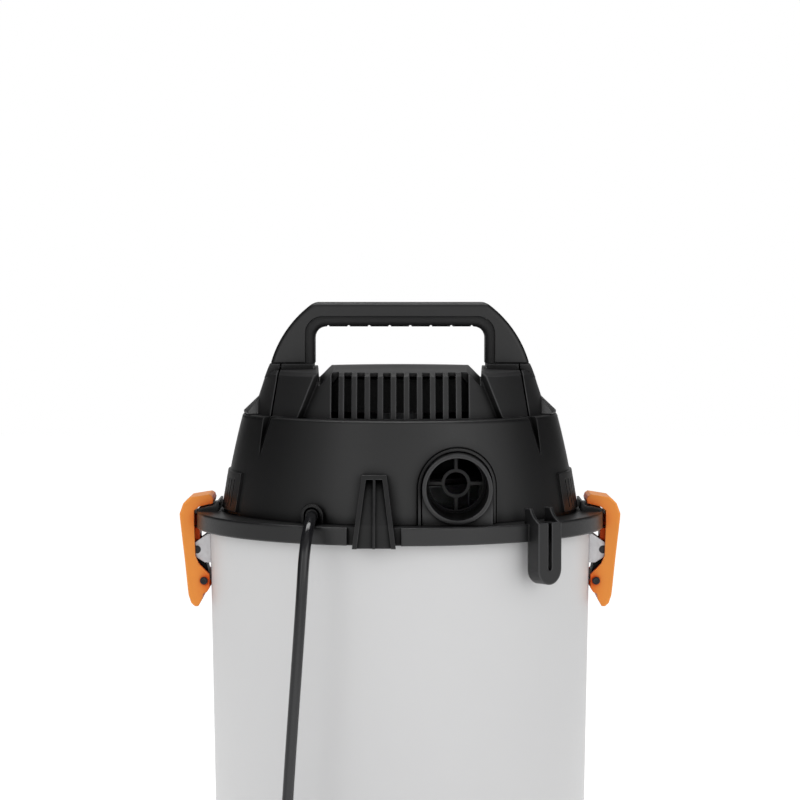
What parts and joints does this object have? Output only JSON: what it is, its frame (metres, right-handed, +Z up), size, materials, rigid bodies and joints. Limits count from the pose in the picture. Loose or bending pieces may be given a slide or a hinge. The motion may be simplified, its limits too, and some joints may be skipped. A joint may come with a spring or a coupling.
{
  "type": "shop vacuum",
  "caption": "Wet and dry shop vacuum: steel drum on swivel casters, clamped lid with motor head, blower outlet, carrying handle, side latches and a coiled mains lead.",
  "frame": {"origin": "on the floor, under the middle of the drum", "axes": "+Z up along the drum axis; -Y is the rear, with the lead and the blower outlet, as in the picture; +Y is the front, with the hose inlet and the switch; +X is to the right seen from the rear"},
  "size_m": [0.329, 0.4819, 0.5575],
  "materials": {
    "tank_steel": "baked enamel, satin",
    "black_plastic": "moulded, fine texture",
    "grip_rubber": "matte",
    "orange_plastic": "satin",
    "zinc_steel": "zinc plated",
    "wheel_rubber": "matte",
    "dark_steel": "blackened",
    "seal_rubber": "matte",
    "cord_pvc": "satin",
    "plug_brass": "plated",
    "rocker_plastic": "gloss",
    "motor_metal": "as made",
    "brush_carbon": "matte",
    "fan_aluminium": "as cast",
    "filter_paper": "pleated paper",
    "cap_rubber": "matte",
    "float_plastic": "smooth"
  },
  "bodies": {
    "root": {"base_tray": "black_plastic", "blower_guard": "black_plastic", "carbon_brushes": "brush_carbon", "cord_coil": "cord_pvc", "cord_gland": "black_plastic", "cord_tie": "cord_pvc", "fan_shroud": "black_plastic", "filter_cage": "black_plastic", "filter_end_caps": "cap_rubber", "filter_knob": "black_plastic", "filter_media": "filter_paper", "handle": "black_plastic", "handle_grip": "grip_rubber", "handle_screws": "zinc_steel", "housing_screws": "zinc_steel", "inlet_deflector": "black_plastic", "inlet_gasket": "seal_rubber", "inlet_screws": "zinc_steel", "latch_bracket_left": "zinc_steel", "latch_bracket_pins": "dark_steel", "latch_bracket_right": "zinc_steel", "latch_rivets": "zinc_steel", "lid_base": "black_plastic", "lid_seal": "seal_rubber", "motor_bearings": "dark_steel", "motor_can": "motor_metal", "motor_housing": "black_plastic", "motor_stator": "motor_metal", "plug_body": "cord_pvc", "plug_pins": "plug_brass", "power_cord": "cord_pvc", "switch_bezel": "black_plastic", "tank_drum": "tank_steel", "tank_floor": "tank_steel", "tank_inlet": "black_plastic", "top_cover": "black_plastic", "vent_baffle": "black_plastic"},
    "latch_link_right": {"latch_link_right": "black_plastic", "latch_lever_pin_right": "dark_steel"},
    "latch_lever_right": {"latch_lever_right": "orange_plastic"},
    "latch_link_left": {"latch_link_left": "black_plastic", "latch_lever_pin_left": "dark_steel"},
    "latch_lever_left": {"latch_lever_left": "orange_plastic"},
    "caster_fork_front_right": {"caster_fork_front_right": "black_plastic", "caster_axle_front_right": "zinc_steel"},
    "caster_wheel_front_right": {"caster_wheel_front_right": "wheel_rubber"},
    "caster_fork_front_left": {"caster_fork_front_left": "black_plastic", "caster_axle_front_left": "zinc_steel"},
    "caster_wheel_front_left": {"caster_wheel_front_left": "wheel_rubber"},
    "caster_fork_rear_left": {"caster_fork_rear_left": "black_plastic", "caster_axle_rear_left": "zinc_steel"},
    "caster_wheel_rear_left": {"caster_wheel_rear_left": "wheel_rubber"},
    "caster_fork_rear_right": {"caster_fork_rear_right": "black_plastic", "caster_axle_rear_right": "zinc_steel"},
    "caster_wheel_rear_right": {"caster_wheel_rear_right": "wheel_rubber"},
    "rotor": {"motor_shaft": "dark_steel", "armature": "motor_metal", "impeller": "fan_aluminium"},
    "float": {"float_ball": "float_plastic"},
    "switch_rocker": {"switch_rocker": "rocker_plastic"}
  },
  "joints": [
    {"name": "latch_link_right_swing", "type": "hinge", "parent": "root", "child": "latch_link_right", "pos_m": [0.152, 0, 0.3728], "axis": [0, -1, 0], "range_deg": [0, 100]},
    {"name": "latch_lever_right_turn", "type": "hinge", "parent": "latch_link_right", "child": "latch_lever_right", "pos_m": [0.1464, 0, 0.35], "axis": [0, -1, 0], "range_deg": [-160, 0]},
    {"name": "latch_link_left_swing", "type": "hinge", "parent": "root", "child": "latch_link_left", "pos_m": [-0.152, 0, 0.3728], "axis": [0, 1, 0], "range_deg": [0, 100]},
    {"name": "latch_lever_left_turn", "type": "hinge", "parent": "latch_link_left", "child": "latch_lever_left", "pos_m": [-0.1464, 0, 0.35], "axis": [0, 1, 0], "range_deg": [-160, 0]},
    {"name": "caster_front_right_swivel", "type": "hinge", "parent": "root", "child": "caster_fork_front_right", "pos_m": [0.10607, 0.10607, 0.065], "axis": [0, 0, 1], "continuous": true},
    {"name": "caster_front_right_spin", "type": "hinge", "parent": "caster_fork_front_right", "child": "caster_wheel_front_right", "pos_m": [0.11667, 0.11667, 0.023], "axis": [-0.7071, 0.7071, 0], "continuous": true},
    {"name": "caster_front_left_swivel", "type": "hinge", "parent": "root", "child": "caster_fork_front_left", "pos_m": [-0.10607, 0.10607, 0.065], "axis": [0, 0, 1], "continuous": true},
    {"name": "caster_front_left_spin", "type": "hinge", "parent": "caster_fork_front_left", "child": "caster_wheel_front_left", "pos_m": [-0.11667, 0.11667, 0.023], "axis": [-0.7071, -0.7071, 0], "continuous": true},
    {"name": "caster_rear_left_swivel", "type": "hinge", "parent": "root", "child": "caster_fork_rear_left", "pos_m": [-0.10607, -0.10607, 0.065], "axis": [0, 0, 1], "continuous": true},
    {"name": "caster_rear_left_spin", "type": "hinge", "parent": "caster_fork_rear_left", "child": "caster_wheel_rear_left", "pos_m": [-0.11667, -0.11667, 0.023], "axis": [0.7071, -0.7071, 0], "continuous": true},
    {"name": "caster_rear_right_swivel", "type": "hinge", "parent": "root", "child": "caster_fork_rear_right", "pos_m": [0.10607, -0.10607, 0.065], "axis": [0, 0, 1], "continuous": true},
    {"name": "caster_rear_right_spin", "type": "hinge", "parent": "caster_fork_rear_right", "child": "caster_wheel_rear_right", "pos_m": [0.11667, -0.11667, 0.023], "axis": [0.7071, 0.7071, 0], "continuous": true},
    {"name": "rotor_spin", "type": "hinge", "parent": "root", "child": "rotor", "pos_m": [0, 0, 0.45], "axis": [0, 0, 1], "continuous": true},
    {"name": "float_rise", "type": "slide", "parent": "root", "child": "float", "axis": [0, 0, 1], "range_m": [0, 0.026]},
    {"name": "switch_rock", "type": "hinge", "parent": "root", "child": "switch_rocker", "pos_m": [0, 0.12266, 0.4394], "axis": [1, 0, 0], "range_deg": [0, 14]}
  ],
  "couplings": [
    {"joint": "latch_lever_right_turn", "follows": "latch_link_right_swing", "ratio": -1.6},
    {"joint": "latch_lever_left_turn", "follows": "latch_link_left_swing", "ratio": -1.6}
  ]
}
